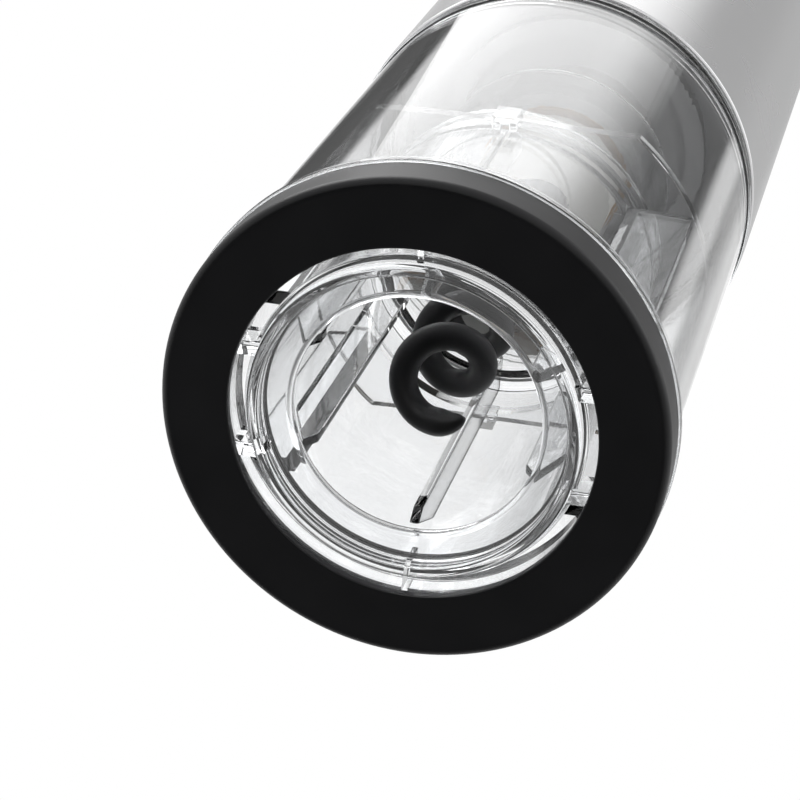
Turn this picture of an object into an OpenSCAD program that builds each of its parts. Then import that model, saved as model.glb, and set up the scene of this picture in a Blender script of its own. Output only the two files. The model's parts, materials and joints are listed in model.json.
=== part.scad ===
// Cordless electric wine opener: a clear lower chamber that stands over the bottle's neck,
// and a brushed steel body that holds the drive, the motor, the switches and four cells.
// Origin: centre of the black ring's flat face. +Z runs up the opener, -Y is the button side.

/* [Black ring] */
// Outer diameter of the ring that rests on the bottle's shoulder
ring_d = 50; // [49.6:0.1:54]
// Height of the ring
ring_h = 4.8; // [3.5:0.1:8]
// Diameter of the hole through the ring
ring_hole_d = 36.3; // [36:0.1:38]
// Thickness of the ring's inner lip, below the seat of the guide's rim
ring_lip = 1; // [0.8:0.1:1.6]
// Rounding of the ring's outer edge
ring_round = 0.9; // [0.4:0.1:2]
// Rounding of the ring's hole edge
ring_hole_round = 0.2; // [0.2:0.1:1]

/* [Clear outer tube] */
// Outer diameter of the clear tube
tube_d = 48.2; // [47.8:0.1:49]
// Wall of the clear tube
tube_wall = 1.8; // [1.2:0.1:2.2]
// Height at which the clear tube ends and the steel begins
tube_top_z = 70; // [66:0.5:76]
// Length of the spigot that enters the steel sleeve
spigot_h = 12; // [8:0.5:16]
// Thickness of the foot flange that the ring is snapped on
foot_h = 1.4; // [1:0.1:2]
// How far the foot flange stands out past the ring
foot_proud = 0.2; // [0:0.05:0.6]

/* [Bottle guide] */
// Diameter of the socket that centres the bottle's mouth
socket_d = 30.4; // [29.6:0.1:31.4]
// Wall of the guide
guide_wall = 1.3; // [1:0.1:1.6]
// Height of the guide's lower lip above the ring's face
guide_bottom_z = 0.4; // [0.2:0.1:0.8]
// Height of the guide's upper edge above the ring's face
guide_top_z = 3.6; // [3.2:0.1:4.4]
// Inner diameter of the stop that the bottle's mouth meets
stop_d = 24.6; // [24.2:0.1:26]
// Thickness of the stop
stop_t = 1.4; // [1:0.1:1.6]
// Distance from the centre plane to each pair of low bars
bar_offset = 5.4; // [4:0.1:6.4]
// Distance from the centre plane to each pair of high walls
wall_offset = 9; // [8:0.1:10]
// Thickness of a bar and of a high wall
rail_t = 1.5; // [0.8:0.1:2]

/* [Cork sleeve] */
// Height of the cork chamber's shoulder
chamber_top_z = 43.5; // [42:0.5:50]
// Outer diameter of the neck above the shoulder
neck_d = 28.2; // [27:0.1:29]
// Height at which the neck ends
neck_top_z = 68; // [60:0.5:74]
// Wall of the neck
neck_wall = 1.4; // [1:0.1:1.8]
// Thickness of the shoulder and of the centring plate
plate_t = 1.7; // [1.4:0.1:3]
// Height of the centring plate's lower face
plate_z = 38; // [36:0.5:41]
// Distance from the centre to the centring plate's flats
plate_flat = 17.2; // [17:0.1:19]
// Width of a retaining clip
clip_w = 2.6; // [2:0.1:4]
// Thickness of a retaining clip
clip_t = 0.8; // [0.6:0.05:1.2]
// Depth of a cork fin, measured from the chamber's wall
fin_depth = 3.9; // [3:0.1:4.2]
// Thickness of a fin
fin_t = 1; // [0.8:0.1:1.6]
// Length of the slanted lower edge of a fin
fin_point = 8; // [4:0.1:12]

/* [Worm] */
// Outer diameter of the worm
worm_d = 10; // [8:0.1:11]
// Diameter of the worm's wire
wire_d = 2.9; // [2:0.1:3.2]
// Pitch of the worm
worm_pitch = 9.6; // [8:0.1:11]
// Number of full turns
worm_turns = 4.75; // [4:0.25:5]
// Height of the worm's tip at rest
worm_tip_z = 8; // [7:0.1:12]
// Angle of the worm's tip at rest
worm_tip_angle = 30; // [0:5:355]
// How far the worm travels down
worm_travel = 48; // [40:0.5:50]

/* [Worm carrier] */
// Diameter of the carrier's tube
carrier_d = 13.2; // [12:0.1:14]
// Diameter of the carrier's head
carrier_head_d = 16; // [15:0.1:18]
// Height of the carrier's head
carrier_head_h = 7; // [5:0.1:9]
// Width across the flats of the drive rod
rod_af = 5; // [4:0.1:6]
// Length of rod that stays in the carrier when the worm is fully down
rod_grip = 10; // [6:0.5:14]

/* [Steel sleeve] */
// Outer diameter of the steel sleeve
sleeve_d = 49; // [48.6:0.1:49.4]
// Wall of the steel sleeve
sleeve_wall = 0.7; // [0.4:0.05:0.9]
// Height at which the sleeve ends and the cap begins
sleeve_top_z = 238; // [236:0.5:242]

/* [Buttons] */
// Diameter of a button
button_d = 10; // [8:0.1:11]
// Distance between the two buttons
button_pitch = 19; // [17:0.5:20]
// Height of the bezel's centre
bezel_z = 176; // [175:0.5:177]
// Width of the bezel
bezel_w = 13.7; // [13:0.1:14.5]
// Height of the bezel
bezel_h = 38; // [36:0.5:39]
// Travel of a button
button_travel = 0.7; // [0.4:0.1:1]

/* [Gearbox] */
// Gear module
gear_m = 0.7; // [0.68:0.005:0.72]
// Teeth on each sun gear
sun_teeth = 12; // [12:12:12]
// Teeth on each planet gear
planet_teeth = 18; // [18:18:18]
// Play between meshing flanks, on each tooth
gear_play = 0.06; // [0.03:0.01:0.1]
// Width of a planet gear
planet_h = 4.6; // [4:0.1:5]
// Thickness of a planet carrier's disc
carrier_disc_h = 2.6; // [2:0.1:3]
// Diameter of a planet pin
planet_pin_d = 3; // [2:0.1:3.6]

/* [Motor] */
// Diameter of the motor's case
motor_d = 27.6; // [24:0.1:28]
// Length of the motor's case and end cap
motor_h = 38; // [34:0.5:40]
// Diameter of the motor's shaft
motor_shaft_d = 2.3; // [2:0.1:3]

/* [Cells and cap] */
// Diameter of a cell
cell_d = 14.4; // [14:0.1:14.5]
// Length of a cell with its button
cell_h = 50.5; // [49:0.1:51]
// Room between the cells and the cap's roof
cap_room = 10.6; // [8:0.1:14]
// Rounding of the cap's upper edge
cap_round = 4; // [1:0.1:6]
// Wall of the cap
cap_wall = 2; // [1.4:0.1:2.6]

/* [Fits] */
// Radial clearance between parts that are pushed together
push_fit = 0.15; // [0.05:0.05:0.3]
// Radial clearance of a running shaft
run_fit = 0.05; // [0.02:0.01:0.1]
// Clearance between parts that move past each other
free_gap = 0.3; // [0.2:0.05:0.5]

/* [Hidden] */
$fn = 96;
eps = 0.01;

// Ring, tube and sleeve radii
ring_r = ring_d / 2;
hole_r = ring_hole_d / 2;
tube_r = tube_d / 2;
tube_in_r = tube_r - tube_wall;
sleeve_r = sleeve_d / 2;
sleeve_in_r = sleeve_r - sleeve_wall;
frame_r = sleeve_in_r - free_gap;        // outside of everything that slides into the sleeve
foot_r = ring_r + foot_proud;
spigot_top_z = tube_top_z + spigot_h;
band_pitch = 1.6;
band_h = 0.7;
band_proud = 0.25;

// Guide and cork sleeve
socket_r = socket_d / 2;
guide_r = socket_r + guide_wall;
skirt_in_round = 0.3;
skirt_out_round = 0.6;
bar_z = guide_bottom_z + 1.2;
hole_gap = 0.3;                          // between the guide's parts and the ring's hole
stop_r = stop_d / 2;
rim_in_r = hole_r + 0.3;
wall_root = 0.4;
rim_top_z = ring_h + foot_h;
rim_r = tube_in_r - free_gap;
chamber_in_r = socket_r - 0.1;
chamber_r = guide_r - 0.1;
neck_r = neck_d / 2;
neck_in_r = neck_r - neck_wall;
fin_tip_r = chamber_in_r - fin_depth;
fin_nose = 1.8;                           // height over which a fin's nose runs in to its edge
fin_z = guide_top_z + 0.4;

// Worm and carrier
wire_r = wire_d / 2;
coil_r = worm_d / 2 - wire_r;
worm_top_z = worm_tip_z + worm_turns * worm_pitch;
neck_turn = 150;                          // angle over which the wire runs in to the axis
neck_rise = 4;
neck_sunk = 2;                            // depth of the run-in inside the carrier's mouth
shank_past_head = 2;
shank_z = worm_top_z + worm_pitch * neck_turn / 360 + neck_rise;
carrier_z = shank_z - neck_sunk;
carrier_mouth_r = wire_r + 1.2;
shank_top_z = carrier_z + carrier_head_h + shank_past_head;
rod_bottom_z = shank_top_z + 1.5;
pin_z = carrier_z + carrier_head_h - 2.5;
cross_pin_r = 0.8;
carrier_top_z = rod_bottom_z + worm_travel + rod_grip;
carrier_r = carrier_d / 2;
bush_wall = 2;
bush_h = 8;
bush_z = carrier_z + carrier_head_h + 1;
bush_r = carrier_r + run_fit + bush_wall;
bush_seat_r = bush_r + 1.6;

// Chassis and gearbox heights
chassis_z = spigot_top_z;
chassis_plate_h = 3;
chassis_wall = 1.9;
skirt_h = 4;
skirt_wall = 1.4;
collar_h = 2;
collar_wall = 2.2;
frame_min_h = 40;
gearbox_z = max(carrier_top_z + 2, chassis_z + frame_min_h);
gear_plate_h = 3;
output_z = gearbox_z + gear_plate_h + 0.2;
planet_2_z = output_z + carrier_disc_h + free_gap;
stage_1_z = planet_2_z + planet_h + 2 * free_gap;
planet_1_z = stage_1_z + carrier_disc_h + free_gap;
motor_plate_z = planet_1_z + planet_h + 2;
motor_plate_h = 3;
motor_z = motor_plate_z + motor_plate_h;
motor_top_z = motor_z + motor_h;
holder_z = motor_top_z + 8;

// Gears
ring_teeth = sun_teeth + 2 * planet_teeth;
planet_orbit_r = gear_m * (sun_teeth + planet_teeth) / 2;
pressure_angle = 25;
addendum = 0.85;                          // in modules, kept short so that the tips clear
dedendum = 1.15;
ring_root_r = gear_m * (ring_teeth / 2 + dedendum);
ring_tip_r = gear_m * (ring_teeth / 2 - addendum);
disc_r = ring_tip_r - 1;
case_r = frame_r - 1;
pin_r = planet_pin_d / 2;
output_shaft_r = 4;
output_bush_r = output_shaft_r + run_fit + 2;
screw_orbit_r = (ring_root_r + case_r) / 2;
screw_r = 1;
screw_grip = 10;
screw_head_r = 1.9;
screw_head_h = 1.5;
socket_key_r = 0.9;
motor_screw_x = 8;
motor_screw_r = 1.25;
motor_screw_head_r = 2.2;
motor_screw_sink = 1.4;
screw_angles = [60, 180, 300];

// Motor
motor_r = motor_d / 2;
motor_in_r = motor_r - 1;
shaft_r = motor_shaft_d / 2;
boss_r = 5;
end_cap_h = 5;
end_cap_sunk = 2;                         // how far the can overlaps the end cap
can_h = motor_h - 3;
can_t = 1.2;
magnet_t = 2.4;
magnet_h = 22;
magnet_z = motor_z + 6;
magnet_gap = 6;
air_gap = 0.5;
terminal_x = 8;

// Buttons and board
button_r = button_d / 2;
button_flange_r = button_r + 0.8;
bezel_in_y = 21.2;
bezel_r = ring_r;
bezel_lip = 1.7;
board_w = 14;
board_h = 34;
board_t = 1.6;
board_y = 15.4;
switch_h = 2.3;

// Cells and cap
cell_r = cell_d / 2;
cell_orbit_r = 10.4;
holder_plate_h = 2;
spring_h = 3;
cell_z = holder_z + holder_plate_h + spring_h;
cell_nub_h = 1;
cell_top_z = cell_z + cell_h;
roof_z = cell_top_z + cap_room;
total_h = roof_z + cap_wall;
holder_tube_r = cell_r + push_fit + 1;
holder_short = 6;                         // length of a cell that stands out of its tube
cap_spigot_h = 8;
cap_spigot_r = frame_r;
contact_t = 0.5;
contact_w = 7;
cell_angles = [45, 135, 225, 315];

// ---------- shared shapes ----------

function arc(centre, r, from, to, steps = 8) =
    [for (i = [0:steps]) centre + r * [cos(from + (to - from) * i / steps), sin(from + (to - from) * i / steps)]];

module tube(r_out, r_in, z, h) {
    translate([0, 0, z]) difference() {
        cylinder(r = r_out, h = h);
        translate([0, 0, -eps]) cylinder(r = r_in, h = h + 2 * eps);
    }
}

module disc(r, z, h) {
    translate([0, 0, z]) cylinder(r = r, h = h);
}

module along_y(x, y_from, y_to, z, r) {
    translate([x, y_from, z]) rotate([-90, 0, 0]) cylinder(r = r, h = y_to - y_from);
}

// A slot shape standing in the XZ plane, with round ends, between two Y values
module slot_y(w, h, y_from, y_to, z) {
    for (s = [-1, 1]) along_y(0, y_from, y_to, z + s * (h - w) / 2, w / 2);
    translate([-w / 2, y_from, z - (h - w) / 2]) cube([w, y_to - y_from, h - w]);
}

// ---------- swept wire ----------

function unit(v) = v / norm(v);
function ring_at(p, tangent, radial, r, sides) =
    let (e1 = unit(radial - (radial * tangent) * tangent), e2 = cross(tangent, e1))
    [for (k = [0:sides - 1]) p + r * (cos(360 * k / sides) * e1 + sin(360 * k / sides) * e2)];

// path holds [point, angle of its radial direction, wire radius]
module sweep(path, sides) {
    n = len(path);
    rings = [for (i = [0:n - 1])
        let (a = max(i - 1, 0), b = min(i + 1, n - 1), tangent = unit(path[b][0] - path[a][0]))
        ring_at(path[i][0], tangent, [cos(path[i][1]), sin(path[i][1]), 0], path[i][2], sides)];
    points = [for (r = rings) each r];
    sides_faces = [for (i = [0:n - 2], k = [0:sides - 1])
        let (a = i * sides + k, b = i * sides + (k + 1) % sides, c = a + sides, d = b + sides)
        each [[a, c, b], [b, c, d]]];
    first_face = [[for (k = [0:sides - 1]) k]];
    last_face = [[for (k = [sides - 1:-1:0]) (n - 1) * sides + k]];
    polyhedron(points, concat(sides_faces, first_face, last_face));
}

// ---------- involute gears ----------

function involute(angle) = tan(angle) * 180 / PI - angle;
function flank_angle(r, teeth, play) =
    let (base_r = gear_m * teeth / 2 * cos(pressure_angle),
         at = acos(min(1, base_r / max(r, base_r))))
    90 / teeth + involute(pressure_angle) - involute(at) + play * 180 / PI / (gear_m * teeth / 2);
// The outline of a gear; play is negative on a gear and positive on the hole of a ring gear
function gear_points(teeth, inner_r, outer_r, play) =
    let (radii = [inner_r, (inner_r * 2 + outer_r) / 3, gear_m * teeth / 2, outer_r])
    [for (t = [0:teeth - 1], side = [-1, 1], k = [0:3])
        let (r = side < 0 ? radii[k] : radii[3 - k],
             a = 360 * t / teeth + side * flank_angle(r, teeth, play))
        r * [cos(a), sin(a)]];

module gear(teeth, h, play = -gear_play) {
    linear_extrude(h) polygon(gear_points(teeth,
        gear_m * (teeth / 2 - dedendum), gear_m * (teeth / 2 + addendum), play));
}

module planet(z, angle) {
    rotate([0, 0, angle]) translate([planet_orbit_r, 0, z]) difference() {
        rotate([0, 0, 180 / planet_teeth]) gear(planet_teeth, planet_h);
        translate([0, 0, -eps]) cylinder(r = pin_r + run_fit, h = planet_h + 2 * eps);
    }
}

module planet_pins(disc_z, planet_z) {
    for (a = [0, 120, 240]) rotate([0, 0, a]) translate([planet_orbit_r, 0, disc_z])
        cylinder(r = pin_r, h = planet_z + planet_h + free_gap - disc_z);
}

// A carrier's disc with the three holes that its pins are pressed into
module carrier_disc(z) {
    difference() {
        disc(disc_r, z, carrier_disc_h);
        for (a = [0, 120, 240]) rotate([0, 0, a])
            translate([planet_orbit_r, 0, z - eps]) cylinder(r = pin_r, h = carrier_disc_h + 2 * eps);
    }
}

// ---------- lower chamber ----------

module base_ring() {
    seat_r = rim_r + push_fit;
    color([0.05, 0.05, 0.055]) rotate_extrude() polygon(concat(
        [[seat_r, ring_h], [seat_r, ring_lip], [hole_r, ring_lip]],
        arc([hole_r + ring_hole_round, ring_hole_round], ring_hole_round, 180, 270, 6),
        arc([ring_r - ring_round, ring_round], ring_round, -90, 0),
        [[ring_r, ring_h]]));
}

module outer_tube() {
    step_w = 0.6;
    step_h = 2;
    step_z = chassis_z - skirt_h - step_h - free_gap;
    pad_r = 2.6;
    pad_angles = [-48, 132];
    color([0.86, 0.88, 0.9, 0.35]) union() {
        tube(foot_r, tube_in_r, ring_h, foot_h);
        tube(tube_r, tube_in_r, ring_h, tube_top_z - ring_h);
        tube(frame_r, tube_in_r, tube_top_z - eps, spigot_h + eps);
        // two fine bands just under the steel
        for (k = [1, 2]) rotate_extrude() translate([tube_r, tube_top_z - k * band_pitch])
            polygon([[-0.1, -band_h / 2], [band_proud, -band_h / 3], [band_proud, band_h / 3], [-0.1, band_h / 2]]);
        // inner step below the upper frame's skirt
        tube(tube_in_r + eps, tube_in_r - step_w, step_z, step_h);
        // two round snap pads that stand under the step
        intersection() {
            tube(tube_in_r + eps, tube_in_r - step_w, step_z - 2 * pad_r, 2 * pad_r + eps);
            for (a = pad_angles) rotate([0, 0, a]) translate([tube_in_r - 2 * step_w, 0, step_z - pad_r + step_w])
                rotate([0, 90, 0]) cylinder(r = pad_r, h = tube_wall);
        }
    }
}

function on_chord(r, y) = sqrt(pow(r, 2) - pow(y, 2));

// Four flat walls that stand along X, outside the guide's skirt
module rails(y, from_z, to_z, out_r) {
    x_from = on_chord(guide_r, y + rail_t / 2) - 0.4;
    x_to = on_chord(out_r, y + rail_t / 2);
    for (sx = [-1, 1], sy = [-1, 1])
        translate([sx > 0 ? x_from : -x_to, sy * y - rail_t / 2, from_z])
            cube([x_to - x_from, rail_t, to_z - from_z]);
}

module bottle_guide() {
    rib_t = 0.6;
    bead = 0.45;
    rim_hold = 1;                         // how far the bars and ribs run into the rim
    wall_inset = 0.2;                     // how far the high walls stay inside the rim
    color([0.9, 0.92, 0.94, 0.35]) difference() {
        union() {
            // skirt around the bottle's mouth, with the stop at its upper end
            rotate_extrude() polygon(concat(
                arc([socket_r + skirt_in_round, guide_bottom_z + skirt_in_round], skirt_in_round, 180, 270, 4),
                arc([guide_r - skirt_out_round, guide_bottom_z + skirt_out_round], skirt_out_round, 270, 360),
                [[guide_r, guide_top_z]],
                arc([stop_r + stop_t / 2, guide_top_z - stop_t / 2], stop_t / 2, 90, 270),
                [[socket_r, guide_top_z - stop_t]]));
            tube(guide_r + bead, guide_r - 0.2, bar_z, 1);
            // rim that lies in the black ring's seat
            tube(rim_r, rim_in_r, ring_lip, rim_top_z - ring_lip);
            // low bars from the skirt to the rim
            rails(bar_offset, bar_z, ring_h, hole_r - hole_gap);
            rails(bar_offset, ring_lip, ring_h, rim_in_r + rim_hold);
            // high walls that carry the centring plate
            rails(wall_offset, rim_top_z - wall_root, plate_z, rim_r - wall_inset);
            // thin ribs across the gap on the other axis
            for (s = [0, 180]) rotate([0, 0, s]) {
                translate([-rib_t / 2, guide_r - 0.2, bar_z])
                    cube([rib_t, hole_r - hole_gap - guide_r + 0.2, rim_top_z - bar_z]);
                translate([-rib_t / 2, guide_r - 0.2, ring_lip])
                    cube([rib_t, rim_in_r + rim_hold - guide_r + 0.2, rim_top_z - ring_lip]);
            }
        }
        // room for the cork sleeve, which stands on the guide
        disc(chamber_r + push_fit, guide_top_z, plate_z);
    }
}

// One rib along +X that grips the cork: its nose starts at nose_r, runs in to edge_r and then
// up, and its lower edge slants back out to the wall
module fin(root_x, nose_x, edge_x) {
    top_z = chamber_top_z + plate_t / 2;
    rotate([90, 0, 0]) linear_extrude(fin_t, center = true)
        polygon([[nose_x, fin_z], [root_x, fin_z + fin_point], [root_x, top_z],
                 [edge_x, top_z], [edge_x, fin_z + fin_nose]]);
}

// Two fins on the Y axis and four in line with the guide's bars
module fins() {
    root_r = chamber_in_r + 0.5;
    side_edge_r = (fin_tip_r + stop_r) / 2;
    for (a = [90, 270]) rotate([0, 0, a]) fin(root_r, stop_r, fin_tip_r);
    for (a = [0, 180], s = [-1, 1]) rotate([0, 0, a]) translate([0, s * bar_offset, 0])
        fin(on_chord(root_r, bar_offset), on_chord(stop_r + 0.5, bar_offset), on_chord(side_edge_r, bar_offset));
}

module cork_sleeve() {
    color([0.9, 0.92, 0.94, 0.35]) union() {
        tube(chamber_r, chamber_in_r, guide_top_z, chamber_top_z + plate_t - guide_top_z);
        tube(chamber_r, neck_in_r, chamber_top_z, plate_t);
        tube(neck_r, neck_in_r, chamber_top_z, neck_top_z - chamber_top_z);
        fins();
        // centring plate with two flats
        intersection() {
            tube(rim_r, chamber_in_r + 0.5, plate_z, plate_t);
            translate([-rim_r, -plate_flat, plate_z - 1]) cube([2 * rim_r, 2 * plate_flat, plate_t + 2]);
        }
    }
}

// Small clips that are pushed over the centring plate's flats, each with two legs along its underside
module retaining_clips() {
    slack = 0.05;
    reach = plate_flat - chamber_r - 2 * slack;
    color([0.93, 0.94, 0.96, 0.5]) for (s = [0, 180]) rotate([0, 0, s])
        translate([-clip_w / 2, -plate_flat - slack - clip_t, plate_z - slack - clip_t]) {
            cube([clip_w, clip_t, plate_t + 2 * (slack + clip_t)]);
            translate([0, 0, plate_t + 2 * slack + clip_t]) cube([clip_w, clip_t + reach, clip_t]);
            for (x = [0, clip_w - clip_t]) translate([x, 0, 0]) cube([clip_t, clip_t + reach, clip_t]);
        }
}

// ---------- steel body and frames ----------

module steel_sleeve() {
    color([0.72, 0.72, 0.73]) difference() {
        tube(sleeve_r, sleeve_in_r, tube_top_z, sleeve_top_z - tube_top_z);
        slot_y(bezel_w + 2 * push_fit, bezel_h + 2 * push_fit, -sleeve_r - 1, -board_y, bezel_z);
    }
}

module screw_holes(z, h, r) {
    for (a = screw_angles) rotate([0, 0, a]) translate([screw_orbit_r, 0, z]) cylinder(r = r, h = h);
}

module lower_chassis() {
    post_r = screw_r + 1.8;
    post_h = screw_grip + 2;
    color([0.82, 0.83, 0.84]) difference() {
        union() {
            disc(frame_r, chassis_z, chassis_plate_h);
            tube(frame_r, frame_r - chassis_wall, chassis_z, gearbox_z - chassis_z);
            tube(rim_r, rim_r - skirt_wall, chassis_z - skirt_h, skirt_h + eps);
            disc(bush_seat_r, bush_z, chassis_z - bush_z + eps);
            // collar around the end of the cork sleeve's neck
            tube(neck_r + free_gap + collar_wall, neck_r + free_gap, chassis_z - collar_h, collar_h + eps);
            intersection() {
                screw_holes(gearbox_z - post_h, post_h, post_r);
                disc(frame_r - 0.5, gearbox_z - post_h, post_h);
            }
        }
        disc(bush_r, bush_z - eps, bush_h);
        disc(carrier_r + free_gap, bush_z - 1, chassis_z + chassis_plate_h + 2 - bush_z);
        screw_holes(gearbox_z - post_h + 1, post_h, screw_r + run_fit);
    }
}

module carrier_bush() {
    color([0.72, 0.55, 0.3]) tube(bush_r, carrier_r + run_fit, bush_z, bush_h - eps);
}

module gearbox_case() {
    color([0.85, 0.85, 0.82]) difference() {
        union() {
            disc(frame_r, gearbox_z, gear_plate_h);
            disc(case_r, gearbox_z, motor_plate_z - gearbox_z);
        }
        translate([0, 0, gearbox_z + gear_plate_h]) rotate([0, 0, 180 / ring_teeth])
            linear_extrude(motor_plate_z - gearbox_z)
            polygon(gear_points(ring_teeth, ring_tip_r, ring_root_r, gear_play));
        disc(output_bush_r, gearbox_z - eps, gear_plate_h + 2 * eps);
        screw_holes(gearbox_z - eps, motor_plate_z - gearbox_z + 2 * eps, screw_r + 0.1);
    }
}

module output_bush() {
    color([0.72, 0.55, 0.3])
        tube(output_bush_r, output_shaft_r + run_fit, gearbox_z, gear_plate_h);
}

module motor_plate() {
    color([0.6, 0.6, 0.62]) difference() {
        disc(case_r, motor_plate_z, motor_plate_h);
        disc(boss_r + 0.1, motor_plate_z - eps, motor_plate_h + 2 * eps);
        screw_holes(motor_plate_z - eps, motor_plate_h + 2 * eps, screw_r + 0.1);
        motor_screw_places() {
            disc(motor_screw_r + push_fit, motor_plate_z - eps, motor_plate_h + 2 * eps);
            disc(motor_screw_head_r + 0.2, motor_plate_z - eps, motor_screw_sink + eps);
        }
    }
}

module motor_screw_places() {
    for (s = [-1, 1]) translate([s * motor_screw_x, 0, 0]) children();
}

module gearbox_screws() {
    color([0.75, 0.75, 0.76]) for (a = screw_angles) rotate([0, 0, a]) translate([screw_orbit_r, 0, 0])
        difference() {
            union() {
                disc(screw_r, gearbox_z - screw_grip, motor_z - gearbox_z + screw_grip);
                disc(screw_head_r, motor_z, screw_head_h);
            }
            translate([0, 0, motor_z + 0.6]) cylinder(r = socket_key_r, h = screw_head_h, $fn = 6);
        }
}

module motor_screws() {
    color([0.75, 0.75, 0.76]) motor_screw_places() difference() {
        union() {
            disc(motor_screw_head_r, motor_plate_z + 0.1, motor_screw_sink - 0.1);
            disc(motor_screw_r, motor_plate_z + motor_screw_sink - eps, motor_plate_h - 0.2);
        }
        translate([0, 0, motor_plate_z - 0.1]) cylinder(r = socket_key_r, h = 0.9, $fn = 6);
    }
}

module motor_case() {
    color([0.7, 0.7, 0.72]) difference() {
        union() {
            disc(motor_r, motor_z, can_h);
            disc(boss_r, motor_plate_z + 1, motor_plate_h - 1 + eps);
        }
        disc(motor_in_r, motor_z + can_t, motor_h);
        disc(shaft_r + run_fit, motor_plate_z, motor_h);
        motor_screw_places() disc(motor_screw_r + run_fit, motor_z - eps, can_t + 2 * eps);
    }
}

module motor_magnets() {
    color([0.25, 0.25, 0.27]) difference() {
        tube(motor_in_r - run_fit, motor_in_r - magnet_t, magnet_z, magnet_h);
        translate([-magnet_gap / 2, -motor_r, magnet_z - 1]) cube([magnet_gap, motor_d, magnet_h + 2]);
    }
}

module motor_end_cap() {
    color([0.15, 0.15, 0.16]) difference() {
        union() {
            disc(motor_in_r - run_fit, motor_top_z - end_cap_h, end_cap_sunk + eps);
            disc(motor_r, motor_z + can_h, (motor_h - can_h) / 2);
            disc(boss_r, motor_z + can_h, motor_h - can_h);
            // brush terminals
            for (s = [-1, 1]) translate([s * terminal_x - 0.4, -1.5, motor_z + can_h]) cube([0.8, 3, 6]);
        }
        disc(shaft_r + run_fit, motor_top_z - end_cap_h - eps, end_cap_h - 1);
    }
}

module upper_chassis() {
    wall_in_r = frame_r - chassis_wall;
    window_w = bezel_w + 2 * bezel_lip + 2 * push_fit;
    window_h = bezel_h + 2 * bezel_lip + 2 * push_fit;
    post_x = board_w / 2 - 1;
    post_t = 2.4;
    floor_h = 1.8;
    roof_h = 3;
    rib_z = motor_z + floor_h / 2;
    color([0.12, 0.12, 0.13]) difference() {
        union() {
            tube(frame_r, wall_in_r, motor_z, holder_z - motor_z);
            disc(frame_r, holder_z - roof_h, roof_h);
            disc(frame_r, motor_z, floor_h);
            // ribs that hold the motor
            for (a = [30, 90, 150]) rotate([0, 0, a])
                translate([motor_r - 2, -1, rib_z]) cube([wall_in_r + 2.5 - motor_r, 2, motor_top_z - 2 - rib_z]);
            // posts that carry the circuit board
            for (s = [-1, 1]) translate([s * post_x - post_t / 2, -board_y, rib_z])
                cube([post_t, board_y - 9, holder_z - roof_h / 2 - rib_z]);
        }
        disc(motor_r + push_fit, motor_z - 1, motor_h + 1.5);
        disc(motor_r - 3, motor_z, holder_z - motor_z - 1);
        disc(4, holder_z - 4, 5);
        slot_y(window_w, window_h, -frame_r - 1, -board_y - board_t - 0.4, bezel_z);
        screw_holes(motor_z - eps, floor_h + 1.5, screw_head_r + 0.2);
    }
}

module switch_bezel() {
    color([0.06, 0.06, 0.065]) difference() {
        union() {
            intersection() {
                slot_y(bezel_w, bezel_h, -bezel_r - 1, -bezel_in_y, bezel_z);
                disc(bezel_r, bezel_z - bezel_h, 2 * bezel_h);
            }
            intersection() {
                slot_y(bezel_w + 2 * bezel_lip, bezel_h + 2 * bezel_lip, -frame_r, -bezel_in_y, bezel_z);
                disc(frame_r, bezel_z - bezel_h, 2 * bezel_h);
            }
        }
        for (s = [-1, 1])
            along_y(0, -bezel_r - 1, -bezel_in_y + 1, bezel_z + s * button_pitch / 2, button_r + push_fit);
    }
}

module button(z) {
    dish_r = 30;
    difference() {
        union() {
            along_y(0, -bezel_r - 0.1, -bezel_in_y + 1, z, button_r);
            along_y(0, -bezel_in_y + 0.2, -bezel_in_y + 1, z, button_flange_r);
        }
        translate([0, -bezel_r - dish_r + 0.35, z]) sphere(r = dish_r);
    }
}

module up_button() {
    color([0.62, 0.63, 0.64]) button(bezel_z + button_pitch / 2);
}

module down_button() {
    color([0.62, 0.63, 0.64]) button(bezel_z - button_pitch / 2);
}

module circuit_board() {
    color([0.1, 0.35, 0.2]) difference() {
        translate([-board_w / 2, -board_y - board_t, bezel_z - board_h / 2])
            cube([board_w, board_t, board_h]);
        for (s = [-1, 1]) along_y(0, -board_y - board_t - 1, -board_y + 1, bezel_z + s * (board_h / 2 - 2), 1);
    }
}

module tact_switches() {
    back_y = -board_y - board_t;
    body = 6;
    stem_y = -bezel_in_y + 1 + button_travel + 0.1;
    color([0.2, 0.2, 0.21]) for (s = [-1, 1]) union() {
        translate([-body / 2, back_y - switch_h, bezel_z + s * button_pitch / 2 - body / 2])
            cube([body, switch_h, body]);
        along_y(0, stem_y, back_y - 1, bezel_z + s * button_pitch / 2, 1.7);
    }
}

// ---------- cells and cap ----------

module cell_places() {
    for (a = cell_angles) rotate([0, 0, a]) translate([cell_orbit_r, 0, 0]) children();
}

module battery_holder() {
    color([0.1, 0.1, 0.11]) difference() {
        union() {
            disc(frame_r, holder_z, holder_plate_h);
            cell_places() translate([0, 0, holder_z]) cylinder(r = holder_tube_r, h = cell_h - holder_short);
        }
        cell_places() translate([0, 0, holder_z + holder_plate_h])
            cylinder(r = cell_r + push_fit, h = cell_h);
        disc(2, holder_z - 1, holder_plate_h + 2);
    }
}

function spring_path(coils, r_low, r_high, h) =
    [for (i = [0:coils * 12]) let (u = i / (coils * 12), a = 360 * coils * u)
        [[(r_low + (r_high - r_low) * u) * cos(a), (r_low + (r_high - r_low) * u) * sin(a), h * u], a, 0.3]];

module cell_springs() {
    z = holder_z + holder_plate_h + 0.3;
    color([0.8, 0.8, 0.82]) cell_places() translate([0, 0, z])
        sweep(spring_path(2.5, 4.6, 2.4, spring_h - 0.6), 6);
}

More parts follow.
